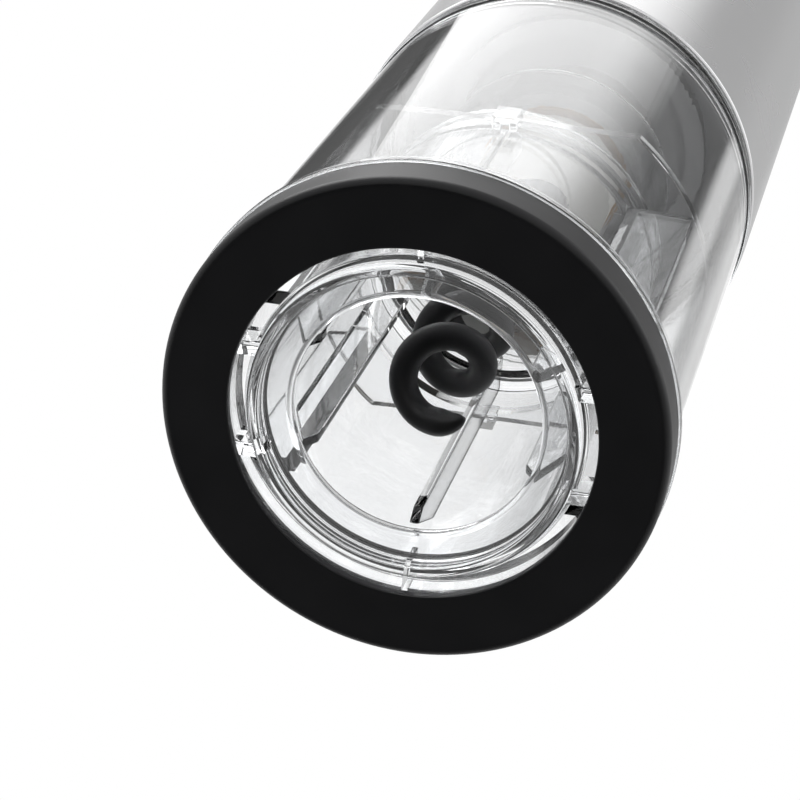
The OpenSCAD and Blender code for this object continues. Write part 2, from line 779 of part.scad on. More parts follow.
module cell(flip) {
    translate([0, 0, flip ? cell_h : 0]) mirror([0, 0, flip ? 1 : 0]) union() {
        cylinder(r = cell_r, h = cell_h - cell_nub_h);
        translate([0, 0, cell_h - cell_nub_h - eps]) cylinder(r = 2.7, h = cell_nub_h + eps);
    }
}

module batteries() {
    color([0.2, 0.25, 0.3]) for (i = [0:3]) rotate([0, 0, cell_angles[i]])
        translate([cell_orbit_r, 0, cell_z]) cell(i % 2 == 1);
}

module battery_cap() {
    in_r = cap_spigot_r - cap_wall;
    post_z = cell_top_z + 0.1 + contact_t;
    color([0.05, 0.05, 0.055]) union() {
        rotate_extrude() polygon(concat(
            [[0, total_h], [0, roof_z], [in_r, roof_z], [in_r, sleeve_top_z - cap_spigot_h],
             [cap_spigot_r, sleeve_top_z - cap_spigot_h], [cap_spigot_r, sleeve_top_z], [sleeve_r, sleeve_top_z]],
            arc([sleeve_r - cap_round, total_h - cap_round], cap_round, 0, 90)));
        cell_places() translate([0, 0, post_z]) cylinder(r = 3, h = roof_z - post_z + 0.5);
    }
}

// Two strips, each joining a pair of cells
module cap_contacts() {
    z = cell_top_z + 0.1;
    half = cell_orbit_r * sin(45);
    color([0.85, 0.8, 0.6]) for (s = [-1, 1])
        translate([-half - contact_w / 2, s * half - contact_w / 2, z])
            cube([2 * half + contact_w, contact_w, contact_t]);
}

// ---------- turning parts ----------

module drive_rod() {
    color([0.7, 0.7, 0.72]) translate([0, 0, rod_bottom_z])
        cylinder(r = rod_af / 2 / cos(30), h = output_z + 1 - rod_bottom_z, $fn = 6);
}

module output_carrier() {
    shaft_z = gearbox_z - 1;
    color([0.8, 0.78, 0.7]) difference() {
        union() {
            carrier_disc(output_z);
            disc(output_shaft_r, shaft_z, output_z - shaft_z + eps);
        }
        translate([0, 0, shaft_z - 1])
            cylinder(r = (rod_af + 0.04) / 2 / cos(30), h = output_z + 1 - shaft_z + 1, $fn = 6);
    }
}

module stage_2_pins() {
    color([0.75, 0.75, 0.76]) planet_pins(output_z, planet_2_z);
}

module stage_2_planet_a() {
    color([0.9, 0.88, 0.8]) planet(planet_2_z, 0);
}

module stage_2_planet_b() {
    color([0.9, 0.88, 0.8]) planet(planet_2_z, 120);
}

module stage_2_planet_c() {
    color([0.9, 0.88, 0.8]) planet(planet_2_z, 240);
}

module stage_1_carrier() {
    color([0.8, 0.78, 0.7]) union() {
        carrier_disc(stage_1_z);
        translate([0, 0, planet_2_z]) gear(sun_teeth, stage_1_z - planet_2_z + eps);
    }
}

module stage_1_pins() {
    color([0.75, 0.75, 0.76]) planet_pins(stage_1_z, planet_1_z);
}

module stage_1_planet_a() {
    color([0.9, 0.88, 0.8]) planet(planet_1_z, 0);
}

module stage_1_planet_b() {
    color([0.9, 0.88, 0.8]) planet(planet_1_z, 120);
}

module stage_1_planet_c() {
    color([0.9, 0.88, 0.8]) planet(planet_1_z, 240);
}

module motor_pinion() {
    color([0.75, 0.6, 0.3]) difference() {
        translate([0, 0, planet_1_z]) gear(sun_teeth, planet_h + 0.6);
        disc(shaft_r, planet_1_z - eps, planet_h + 1);
    }
}

module motor_armature() {
    core_h = magnet_h - 2;
    color([0.55, 0.35, 0.2]) union() {
        disc(shaft_r, planet_1_z, motor_top_z - 2.2 - planet_1_z);
        disc(motor_in_r - magnet_t - air_gap, magnet_z, core_h);
        disc(3, magnet_z + core_h - eps, 4);
    }
}

// ---------- worm ----------

function worm_path() =
    let (steps = 22, first = round(worm_turns * steps), extra = 9)
    concat(
        [for (i = [0:first]) let (a = 360 * i / steps,
             taper = min(1, 0.14 + 0.86 * a / 110),
             r = coil_r + wire_r * (1 - taper) * 0.75)
            [[r * cos(a), r * sin(a), worm_pitch * a / 360], a, wire_r * taper]],
        [for (i = [1:extra]) let (u = i / extra, a = 360 * first / steps + neck_turn * u,
             inward = u * u * (3 - 2 * u),
             z = worm_pitch * (first / steps + neck_turn / 360 * u) + neck_rise * u * u)
            [[coil_r * (1 - inward) * cos(a), coil_r * (1 - inward) * sin(a), z], a, wire_r]]);

module worm() {
    color([0.06, 0.06, 0.065]) union() {
        translate([0, 0, worm_tip_z]) rotate([0, 0, worm_tip_angle]) sweep(worm_path(), 12);
        disc(wire_r, shank_z - 0.5, shank_top_z - shank_z + 0.5);
    }
}

module worm_carrier() {
    color([0.86, 0.86, 0.84]) difference() {
        union() {
            disc(carrier_head_d / 2, carrier_z, carrier_head_h);
            disc(carrier_r, carrier_z + carrier_head_h - eps, carrier_top_z - carrier_z - carrier_head_h + eps);
        }
        disc(wire_r + run_fit, carrier_z - eps, shank_top_z - carrier_z + 0.3);
        disc(carrier_mouth_r, carrier_z - eps, neck_sunk + 0.6);
        translate([0, 0, rod_bottom_z - 0.6])
            cylinder(r = (rod_af + 0.2) / 2 / cos(30), h = carrier_top_z, $fn = 6);
        along_y(0, -carrier_head_d, carrier_head_d, pin_z, cross_pin_r);
    }
}

// Cross pin that keeps the worm in its carrier
module worm_pin() {
    half = carrier_head_d / 2 - 0.6;
    color([0.75, 0.75, 0.76]) for (s = [0, 180]) rotate([0, 0, s])
        along_y(0, wire_r, half, pin_z, cross_pin_r);
}

base_ring();
outer_tube();
bottle_guide();
cork_sleeve();
retaining_clips();
steel_sleeve();
lower_chassis();
carrier_bush();
gearbox_case();
output_bush();
motor_plate();
gearbox_screws();
motor_screws();
motor_case();
motor_magnets();
motor_end_cap();
upper_chassis();
switch_bezel();
circuit_board();
tact_switches();
battery_holder();
cell_springs();
batteries();
drive_rod();
output_carrier();
stage_2_pins();
stage_2_planet_a();
stage_2_planet_b();
stage_2_planet_c();
stage_1_carrier();
stage_1_pins();
stage_1_planet_a();
stage_1_planet_b();
stage_1_planet_c();
motor_armature();
motor_pinion();
worm();
worm_carrier();
worm_pin();
up_button();
down_button();
battery_cap();
cap_contacts();
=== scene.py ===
import json
import math

import bmesh
import bpy
from bpy.props import FloatProperty, FloatVectorProperty, IntProperty, PointerProperty
from mathutils import Matrix, Vector


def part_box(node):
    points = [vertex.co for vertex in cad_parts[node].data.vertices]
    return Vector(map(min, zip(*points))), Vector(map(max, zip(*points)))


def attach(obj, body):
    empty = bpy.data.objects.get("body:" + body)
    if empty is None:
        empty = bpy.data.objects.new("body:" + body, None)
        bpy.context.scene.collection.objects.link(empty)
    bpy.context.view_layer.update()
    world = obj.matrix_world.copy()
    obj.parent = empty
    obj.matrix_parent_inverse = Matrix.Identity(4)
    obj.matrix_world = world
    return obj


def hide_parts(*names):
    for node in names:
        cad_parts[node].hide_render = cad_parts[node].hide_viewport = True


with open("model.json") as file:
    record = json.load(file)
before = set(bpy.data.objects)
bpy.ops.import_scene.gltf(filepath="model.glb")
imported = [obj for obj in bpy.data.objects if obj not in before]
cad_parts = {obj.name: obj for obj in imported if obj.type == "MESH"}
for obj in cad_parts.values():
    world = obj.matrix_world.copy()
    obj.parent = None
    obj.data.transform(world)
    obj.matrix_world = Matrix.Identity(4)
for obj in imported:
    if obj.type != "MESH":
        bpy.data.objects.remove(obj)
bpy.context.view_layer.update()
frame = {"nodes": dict(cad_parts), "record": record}        # bodies, nodes, joints and record

bl_info = {
    "name": "Electric wine opener",
    "version": (1, 0, 0),
    "blender": (4, 5, 0),
    "location": "3D View > Sidebar > Opener",
    "description": "Builds the looks of a cordless electric wine opener over its packed frame",
    "category": "Object",
}

MM = 0.001


def low(node):
    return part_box(node)[0]


def high(node):
    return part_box(node)[1]


# ---------------------------------------------------------------- settings

class OpenerSizes(bpy.types.PropertyGroup):
    ring_hole: FloatProperty(name="Ring hole radius", description="Radius of the hole through the black ring",
                             default=18.15 * MM, unit="LENGTH")
    tube_wall: FloatProperty(name="Tube wall", description="Wall of the clear outer tube",
                             default=1.8 * MM, unit="LENGTH")
    socket: FloatProperty(name="Socket radius", description="Radius of the socket for the bottle's mouth",
                          default=15.2 * MM, unit="LENGTH")
    stop: FloatProperty(name="Stop radius", description="Inner radius of the stop above the socket",
                        default=12.3 * MM, unit="LENGTH")
    chamber_wall: FloatProperty(name="Chamber wall", description="Wall of the cork sleeve",
                                default=1.3 * MM, unit="LENGTH")
    bar_offset: FloatProperty(name="Bar offset", description="Distance of a low bar from the middle plane",
                              default=5.4 * MM, unit="LENGTH")
    wall_offset: FloatProperty(name="Wall offset",
                               description="Distance of a high wall from the middle plane",
                               default=9 * MM, unit="LENGTH")
    wire: FloatProperty(name="Wire radius", description="Radius of the worm's wire",
                        default=1.45 * MM, unit="LENGTH")
    pitch: FloatProperty(name="Worm pitch", description="Rise of the worm in one turn",
                         default=9.6 * MM, unit="LENGTH")
    turns: FloatProperty(name="Worm turns", description="Number of full turns of the worm", default=4.75)
    tip_angle: FloatProperty(name="Tip angle", description="Where the worm's tip stands around its axis",
                             default=math.radians(30), subtype="ANGLE")
    sleeve_wall: FloatProperty(name="Sleeve wall", description="Wall of the steel sleeve",
                               default=0.7 * MM, unit="LENGTH")
    steps: IntProperty(name="Steps around", description="Segments of a turned piece", default=160, min=48)


class OpenerColours(bpy.types.PropertyGroup):
    black: FloatVectorProperty(name="Black plastic", description="Colour of the black mouldings",
                               subtype="COLOR", size=3, default=(0.012, 0.012, 0.013), min=0, max=1)
    clear: FloatVectorProperty(name="Clear plastic", description="Tint of the clear mouldings",
                               subtype="COLOR", size=3, default=(0.975, 0.98, 0.985), min=0, max=1)
    steel: FloatVectorProperty(name="Steel", description="Colour of the brushed steel", subtype="COLOR",
                               size=3, default=(0.62, 0.62, 0.625), min=0, max=1)
    coating: FloatVectorProperty(name="Worm coating", description="Colour of the non-stick coating",
                                 subtype="COLOR", size=3, default=(0.009, 0.009, 0.0095), min=0, max=1)
    pale: FloatVectorProperty(name="Pale plastic", description="Colour of the pale inner mouldings",
                              subtype="COLOR", size=3, default=(0.55, 0.55, 0.55), min=0, max=1)
    button: FloatVectorProperty(name="Buttons", description="Colour of the two buttons", subtype="COLOR",
                                size=3, default=(0.42, 0.42, 0.43), min=0, max=1)


# ---------------------------------------------------------------- node groups and materials

def add_node(tree, kind, **sockets):
    node = tree.nodes.new(kind)
    for name, value in sockets.items():
        node.inputs[name.replace("_", " ")].default_value = value
    return node


def moulded_surface():
    """Fine grain and soft unevenness of a surface, from its own place in the object."""
    name = "Moulded surface"
    if name in bpy.data.node_groups:
        return bpy.data.node_groups[name]
    tree = bpy.data.node_groups.new(name, "ShaderNodeTree")
    for label, default in (("Grain Size", 0.3), ("Patch Size", 8.0)):
        s = tree.interface.new_socket(label, in_out="INPUT", socket_type="NodeSocketFloat")
        s.default_value = default
    s = tree.interface.new_socket("Stretch", in_out="INPUT", socket_type="NodeSocketVector")
    s.default_value = (1, 1, 1)
    for label in ("Grain", "Patches"):
        tree.interface.new_socket(label, in_out="OUTPUT", socket_type="NodeSocketFloat")
    inp, out = tree.nodes.new("NodeGroupInput"), tree.nodes.new("NodeGroupOutput")
    place = tree.nodes.new("ShaderNodeTexCoord")
    stretch = tree.nodes.new("ShaderNodeVectorMath")
    stretch.operation = "MULTIPLY"
    tree.links.new(place.outputs["Object"], stretch.inputs[0])
    tree.links.new(inp.outputs["Stretch"], stretch.inputs[1])
    for label, size, detail, source in (("Grain", "Grain Size", 3.0, stretch.outputs[0]),
                                        ("Patches", "Patch Size", 2.0, place.outputs["Object"])):
        scale = tree.nodes.new("ShaderNodeMath")
        scale.operation = "DIVIDE"
        scale.inputs[0].default_value = 1 / MM
        tree.links.new(inp.outputs[size], scale.inputs[1])
        noise = add_node(tree, "ShaderNodeTexNoise", Detail=detail, Roughness=0.55)
        tree.links.new(scale.outputs[0], noise.inputs["Scale"])
        tree.links.new(source, noise.inputs["Vector"])
        tree.links.new(noise.outputs["Fac"], out.inputs[label])
    return tree


def finish(name, colour, rough, metallic=0.0, grain=0.3, patch=8.0, stretch=(1, 1, 1), bump=0.02,
           rough_spread=0.06, shade=0.12, specular=0.5, **more):
    """A material with grain, uneven gloss and a slight change of tone, all from one node group."""
    made = bpy.data.materials.new(name)
    made.use_nodes = True
    tree = made.node_tree
    body = tree.nodes["Principled BSDF"]
    body.inputs["Metallic"].default_value = metallic
    body.inputs["Specular IOR Level"].default_value = specular
    for socket, value in more.items():
        body.inputs[socket.replace("_", " ")].default_value = value
    surface = tree.nodes.new("ShaderNodeGroup")
    surface.node_tree = moulded_surface()
    surface.inputs["Grain Size"].default_value = grain
    surface.inputs["Patch Size"].default_value = patch
    surface.inputs["Stretch"].default_value = stretch
    tone = tree.nodes.new("ShaderNodeMix")
    tone.data_type = "RGBA"
    tone.inputs["A"].default_value = (*[c * (1 - shade) for c in colour], 1)
    tone.inputs["B"].default_value = (*[min(1, c * (1 + shade)) for c in colour], 1)
    tree.links.new(surface.outputs["Patches"], tone.inputs["Factor"])
    tree.links.new(tone.outputs["Result"], body.inputs["Base Color"])
    gloss = add_node(tree, "ShaderNodeMapRange")
    gloss.inputs["From Min"].default_value = 0.3
    gloss.inputs["From Max"].default_value = 0.7
    gloss.inputs["To Min"].default_value = max(0.0, rough - rough_spread)
    gloss.inputs["To Max"].default_value = rough + rough_spread
    tree.links.new(surface.outputs["Patches"], gloss.inputs["Value"])
    tree.links.new(gloss.outputs["Result"], body.inputs["Roughness"])
    relief = add_node(tree, "ShaderNodeBump", Strength=0.6, Distance=bump * MM)
    tree.links.new(surface.outputs["Grain"], relief.inputs["Height"])
    tree.links.new(relief.outputs["Normal"], body.inputs["Normal"])
    return made


def clear_finish(name, colour, ior=1.5):
    """Clear moulded plastic. Lamps shine through it, and its surface carries faint flow marks."""
    made = bpy.data.materials.new(name)
    made.use_nodes = True
    tree = made.node_tree
    body = tree.nodes["Principled BSDF"]
    body.inputs["Base Color"].default_value = (*colour, 1)
    body.inputs["Roughness"].default_value = 0
    body.inputs["Transmission Weight"].default_value = 1
    body.inputs["IOR"].default_value = ior
    surface = tree.nodes.new("ShaderNodeGroup")
    surface.node_tree = moulded_surface()
    surface.inputs["Grain Size"].default_value = 2.5
    surface.inputs["Patch Size"].default_value = 6.0
    surface.inputs["Stretch"].default_value = (1, 1, 0.35)
    relief = add_node(tree, "ShaderNodeBump", Strength=0.25, Distance=0.02 * MM)
    tree.links.new(surface.outputs["Grain"], relief.inputs["Height"])
    tree.links.new(relief.outputs["Normal"], body.inputs["Normal"])
    path = tree.nodes.new("ShaderNodeLightPath")
    through = tree.nodes.new("ShaderNodeBsdfTransparent")
    through.inputs["Color"].default_value = (0.93, 0.93, 0.94, 1)
    mix = tree.nodes.new("ShaderNodeMixShader")
    tree.links.new(path.outputs["Is Shadow Ray"], mix.inputs["Fac"])
    tree.links.new(body.outputs["BSDF"], mix.inputs[1])
    tree.links.new(through.outputs["BSDF"], mix.inputs[2])
    tree.links.new(mix.outputs["Shader"], tree.nodes["Material Output"].inputs["Surface"])
    return made


def board_finish(name):
    """Green solder mask with lighter lines where the copper tracks lie under it."""
    mask = (0.015, 0.11, 0.05)
    made = finish(name, mask, 0.3, grain=0.4, bump=0.01)
    tree = made.node_tree
    place = tree.nodes.new("ShaderNodeTexCoord")
    tracks = tree.nodes.new("ShaderNodeTexBrick")
    tracks.inputs["Scale"].default_value = 260
    tracks.inputs["Mortar Size"].default_value = 0.03
    tracks.inputs["Color1"].default_value = (*mask, 1)
    tracks.inputs["Color2"].default_value = (0.02, 0.13, 0.06, 1)
    tracks.inputs["Mortar"].default_value = (0.06, 0.2, 0.08, 1)
    turn = tree.nodes.new("ShaderNodeMapping")
    turn.inputs["Rotation"].default_value = (math.pi / 2, 0, 0)
    tree.links.new(place.outputs["Object"], turn.inputs["Vector"])
    tree.links.new(turn.outputs["Vector"], tracks.inputs["Vector"])
    tree.links.new(tracks.outputs["Color"], tree.nodes["Principled BSDF"].inputs["Base Color"])
    return made


def materials():
    """Every finish of the opener, made once."""
    if "Satin black ring" in bpy.data.materials:
        return
    c = bpy.context.scene.opener_colours
    finish("Satin black ring", c.black, 0.36, grain=0.35, patch=9, bump=0.006, rough_spread=0.04,
           specular=0.25)
    finish("Black moulding", [k * 1.3 for k in c.black], 0.42, grain=0.4, patch=10, bump=0.02, specular=0.3)
    clear_finish("Clear polycarbonate", c.clear)
    finish("Brushed steel", c.steel, 0.27, metallic=1.0, grain=0.22, patch=14, stretch=(0.02, 0.02, 1),
           bump=0.004, rough_spread=0.008, shade=0.015, Anisotropic=0.35)
    finish("Worm coating", c.coating, 0.48, grain=0.3, patch=1.5, bump=0.03, rough_spread=0.08, shade=0.3,
           specular=0.22)
    finish("Pale moulding", c.pale, 0.42, grain=0.5, patch=9, bump=0.02, shade=0.04)
    finish("Natural nylon", (0.78, 0.765, 0.71), 0.45, grain=0.3, patch=4, bump=0.015, shade=0.05)
    finish("Sintered bronze", (0.46, 0.28, 0.12), 0.42, metallic=1.0, grain=0.12, patch=2, bump=0.03,
           shade=0.25)
    finish("Plain steel", (0.56, 0.56, 0.58), 0.25, metallic=1.0, grain=0.2, patch=3, bump=0.01, shade=0.08)
    finish("Ferrite", (0.045, 0.045, 0.05), 0.6, grain=0.3, patch=3, bump=0.03, shade=0.2)
    finish("Rotor windings", (0.5, 0.25, 0.12), 0.35, metallic=0.9, grain=0.25, stretch=(1, 1, 6), bump=0.05,
           shade=0.3)
    board_finish("Circuit board")
    finish("Switch black", (0.02, 0.02, 0.021), 0.38, grain=0.2, patch=2, bump=0.01)
    finish("Satin button", c.button, 0.34, grain=0.25, patch=4, bump=0.012, shade=0.05)
    finish("Button mark", (0.82, 0.82, 0.82), 0.4, grain=0.2, patch=2, bump=0.004, shade=0.04)
    finish("Cell wrap", (0.03, 0.035, 0.045), 0.28, grain=0.5, bump=0.004)
    finish("Contact strip", (0.6, 0.53, 0.36), 0.25, metallic=1.0, grain=0.2, patch=3, bump=0.008, shade=0.1)


SLOT_FINISH = {
    "black_ring": "Satin black ring", "clear_plastic": "Clear polycarbonate",
    "brushed_steel": "Brushed steel", "black_plastic": "Black moulding",
    "pale_plastic": "Pale moulding", "natural_nylon": "Natural nylon",
    "worm_coating": "Worm coating", "bronze": "Sintered bronze", "steel_parts": "Plain steel",
    "magnet": "Ferrite", "armature": "Rotor windings", "board": "Circuit board",
    "switch_black": "Switch black", "button_grey": "Satin button", "cell_wrap": "Cell wrap",
    "contact_metal": "Contact strip",
}


# ---------------------------------------------------------------- modelling helpers

def to_object_mode():
    if bpy.context.object and bpy.context.mode != "OBJECT":
        bpy.ops.object.mode_set(mode="OBJECT")
    bpy.ops.object.select_all(action="DESELECT")


def rounded(corners, detail=5):
    """The outline through (r, z, rounding) corners, closed, with each corner turned into an arc."""
    points = []
    count = len(corners)
    for i, (r, z, rounding) in enumerate(corners):
        here = Vector((r, z))
        if rounding <= 0:
            points.append(here)
            continue
        back = (Vector(corners[i - 1][:2]) - here).normalized()
        on = (Vector(corners[(i + 1) % count][:2]) - here).normalized()
        half = back.angle(on) / 2
        reach = rounding / math.tan(half)
        centre = here + (back + on).normalized() * (rounding / math.sin(half))
        start = here + back * reach - centre
        sweep = math.pi - 2 * half
        side = 1 if back.x * on.y - back.y * on.x < 0 else -1
        for k in range(detail + 1):
            a = side * sweep * k / detail
            points.append(centre + Vector((start.x * math.cos(a) - start.y * math.sin(a),
                                           start.x * math.sin(a) + start.y * math.cos(a))))
    return points


def turned(name, outline, steps=None, on_axis=False):
    """Draws the outline in the XZ plane vertex by vertex and spins it around Z."""
    steps = steps or bpy.context.scene.opener_sizes.steps
    to_object_mode()
    first = outline[0]
    bpy.ops.mesh.primitive_plane_add(size=MM, location=(first.x, 0, first.y))
    piece = bpy.context.active_object
    piece.name = piece.data.name = name
    bpy.ops.object.transform_apply(location=True, rotation=True, scale=True)
    bpy.ops.object.mode_set(mode="EDIT")
    bpy.ops.mesh.merge(type="CENTER")
    last = first
    for point in list(outline[1:]) + ([] if on_axis else [first]):
        step = (point.x - last.x, 0, point.y - last.y)
        bpy.ops.mesh.extrude_vertices_move(TRANSFORM_OT_translate={"value": step})
        last = point
    bpy.ops.mesh.select_all(action="SELECT")
    bpy.ops.mesh.remove_doubles(threshold=0.001 * MM)
    bpy.ops.mesh.spin(steps=steps, angle=2 * math.pi, center=(0, 0, 0), axis=(0, 0, 1))
    bpy.ops.mesh.select_all(action="SELECT")
    bpy.ops.mesh.remove_doubles(threshold=0.002 * MM)
    bpy.ops.mesh.normals_make_consistent(inside=False)
    bpy.ops.object.mode_set(mode="OBJECT")
    return piece


def block(name, corner, opposite, bevel=0.0, segments=2):
    """A box between two corners with all its edges bevelled."""
    to_object_mode()
    a, b = Vector(corner), Vector(opposite)
    bpy.ops.mesh.primitive_cube_add(size=1, location=(a + b) / 2, scale=[abs(k) for k in (b - a)])
    piece = bpy.context.active_object
    piece.name = piece.data.name = name
    bpy.ops.object.transform_apply(location=True, rotation=True, scale=True)
    if bevel:
        bpy.ops.object.mode_set(mode="EDIT")
        bpy.ops.mesh.select_all(action="SELECT")
        bpy.ops.mesh.bevel(offset=bevel, segments=segments, affect="EDGES")
        bpy.ops.object.mode_set(mode="OBJECT")
    return piece


def along_edges(piece, axis, offset, segments):
    """Bevels the edges that run along one axis."""
    bpy.context.view_layer.objects.active = piece
    bpy.ops.object.mode_set(mode="EDIT")
    bpy.ops.mesh.select_mode(type="EDGE")
    bpy.ops.mesh.select_all(action="DESELECT")
    mesh = bmesh.from_edit_mesh(piece.data)
    for edge in mesh.edges:
        d = edge.verts[1].co - edge.verts[0].co
        edge.select = abs(d[axis]) > 0.99 * d.length
    bmesh.update_edit_mesh(piece.data)
    bpy.ops.mesh.bevel(offset=offset, segments=segments, affect="EDGES")
    bpy.ops.mesh.select_mode(type="VERT")
    bpy.ops.object.mode_set(mode="OBJECT")


def combine(piece, other, operation="UNION"):
    """Joins, cuts or trims the first piece with the second, which is used up."""
    to_object_mode()
    piece.select_set(True)
    bpy.context.view_layer.objects.active = piece
    bpy.ops.object.modifier_add(type="BOOLEAN")
    tool = piece.modifiers[-1]
    tool.operation = operation
    tool.solver = "EXACT"
    tool.object = other
    bpy.ops.object.modifier_apply(modifier=tool.name)
    bpy.data.objects.remove(other, do_unlink=True)
    return piece


def bevel_all(piece, width, segments=2, angle=35):
    """Rounds every sharp edge slightly."""
    to_object_mode()
    piece.select_set(True)
    bpy.context.view_layer.objects.active = piece
    bpy.ops.object.modifier_add(type="BEVEL")
    tool = piece.modifiers[-1]
    tool.width, tool.segments = width, segments
    tool.limit_method = "ANGLE"
    tool.angle_limit = math.radians(angle)
    tool.harden_normals = False
    bpy.ops.object.modifier_apply(modifier=tool.name)


def even_shading(piece, smooth):
    """Smooths faces that meet at less than the angle, with the widest faces leading, so walls stay true."""
    bpy.ops.object.shade_smooth_by_angle(angle=math.radians(smooth))
    bpy.ops.object.modifier_add(type="WEIGHTED_NORMAL")
    tool = piece.modifiers[-1]
    tool.mode = "FACE_AREA_WITH_ANGLE"
    tool.keep_sharp = True
    bpy.ops.object.modifier_apply(modifier=tool.name)


def turn_piece(piece, angle):
    """Turns a piece around the opener's axis and keeps its object unturned."""
    to_object_mode()
    piece.select_set(True)
    bpy.context.view_layer.objects.active = piece
    piece.rotation_euler.z = angle
    bpy.ops.object.transform_apply(location=True, rotation=True, scale=True)


def complete(piece, finish_name, body, slot, *nodes, smooth=32):
    """Shades the piece, gives it its finish, and lets it stand for its CAD nodes."""
    to_object_mode()
    piece.select_set(True)
    bpy.context.view_layer.objects.active = piece
    even_shading(piece, smooth)
    piece.data.materials.clear()
    piece.data.materials.append(bpy.data.materials[finish_name])
    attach(piece, body)
    if nodes:
        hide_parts(*nodes)
    return piece


def refined(node, finish_name, body, slot, smooth=28, edge=0.0):
    """A smooth-shaded copy of a CAD node, with its loose triangles merged and its edges eased."""
    to_object_mode()
    source = frame["nodes"][node]
    piece = bpy.data.objects.new(node + "_moulded", source.data.copy())
    bpy.context.scene.collection.objects.link(piece)
    piece.select_set(True)
    bpy.context.view_layer.objects.active = piece
    bpy.ops.object.mode_set(mode="EDIT")
    bpy.ops.mesh.select_all(action="SELECT")
    bpy.ops.mesh.remove_doubles(threshold=0.002 * MM)
    bpy.ops.mesh.dissolve_limited(angle_limit=math.radians(0.1))
    bpy.ops.object.mode_set(mode="OBJECT")
    if edge:
        bevel_all(piece, edge)
    return complete(piece, finish_name, body, slot, node, smooth=smooth)


# ---------------------------------------------------------------- pieces

class BuildBlackRing(bpy.types.Operator):
    """Turns the black ring at the open end"""
    bl_idname = "opener.black_ring"
    bl_label = "Black ring"

    def execute(self, context):
        s = context.scene.opener_sizes
        r, top = high("base_ring").x, high("base_ring").z
        seat, lip = 22.15 * MM, low("bottle_guide").z + 0.6 * MM
        ring = turned("black_ring", rounded([
            (s.ring_hole, 0, 0.2 * MM), (r, 0, 0.9 * MM), (r, top, 0.15 * MM), (seat, top, 0.15 * MM),
            (seat, lip, 0.05 * MM), (s.ring_hole, lip, 0.15 * MM)], 8))
        complete(ring, "Satin black ring", "root", "black_ring", "base_ring")
        return {"FINISHED"}


class BuildOuterTube(bpy.types.Operator):
    """Turns the clear outer tube with its foot flange, bands, inner step and spigot"""
    bl_idname = "opener.outer_tube"
    bl_label = "Outer tube"

    def execute(self, context):
        s = context.scene.opener_sizes
        bottom, top = low("outer_tube").z, high("outer_tube").z
        foot = high("outer_tube").x
        tube = 24.1 * MM
        inner = tube - s.tube_wall
        steel = low("steel_sleeve").z
        spigot = 23.5 * MM
        step_z, step_r, step_h = 77.7 * MM, inner - 0.6 * MM, 2 * MM
        foot_top = bottom + 1.4 * MM
        band_r, band_pitch = tube + 0.25 * MM, 1.6 * MM
        bands = []
        for k in (2, 1):
            z = steel - k * band_pitch
            bands += [(tube, z - 0.35 * MM, 0), (band_r, z - 0.2 * MM, 0.08 * MM),
                      (band_r, z + 0.2 * MM, 0.08 * MM), (tube, z + 0.35 * MM, 0)]
        outline = rounded([
            (inner, bottom, 0.2 * MM), (foot, bottom, 0.3 * MM), (foot, foot_top, 0.4 * MM),
            (tube, foot_top, 0.5 * MM), *bands,
            (tube, steel, 0.1 * MM), (spigot, steel, 0.1 * MM), (spigot, top, 0.2 * MM),
            (inner, top, 0.2 * MM), (inner, step_z, 0.1 * MM), (step_r, step_z, 0.2 * MM),
            (step_r, step_z - step_h, 0.2 * MM), (inner, step_z - step_h, 0.1 * MM)], 4)
        tube_piece = turned("outer_tube_clear", outline)

        # the two round snap pads under the step, trimmed to the tube's inside
        pad_angles = (-48, 132)
        for a in pad_angles:
            to_object_mode()
            bpy.ops.mesh.primitive_cylinder_add(vertices=48, radius=2.6 * MM, depth=1.6 * MM,
                                                location=(22.1 * MM, 0, step_z - 4 * MM),
                                                rotation=(0, math.pi / 2, 0))
            pad = context.active_object
            bpy.ops.object.transform_apply(location=True, rotation=True, scale=True)
            turn_piece(pad, math.radians(a))
            pad_r, root_r = inner - 0.55 * MM, inner + 0.3 * MM
            pad_low, pad_high = step_z - 8 * MM, step_z - 1.8 * MM
            shell = turned("shell", rounded([
                (pad_r, pad_low, 0), (root_r, pad_low, 0), (root_r, pad_high, 0), (pad_r, pad_high, 0)]))
            combine(pad, shell, "INTERSECT")
            combine(tube_piece, pad)
        complete(tube_piece, "Clear polycarbonate", "root", "clear_plastic", "outer_tube", smooth=25)
        return {"FINISHED"}


def chord(r, y):
    """Half the width of a circle at a distance from its middle."""
    return math.sqrt(r ** 2 - y ** 2)


def rails(name, y, z_from, z_to, guide_r, out_r, thick):
    """Four upright walls along X, from just inside the guide's skirt out to a radius."""
    root = 0.4 * MM
    x_from, x_to = chord(guide_r, y + thick / 2) - root, chord(out_r, y + thick / 2)
    return [block(name, (side * x_from, at - thick / 2, z_from), (side * x_to, at + thick / 2, z_to),
                  0.15 * MM, 2)
            for side in (-1, 1) for at in (-y, y)]


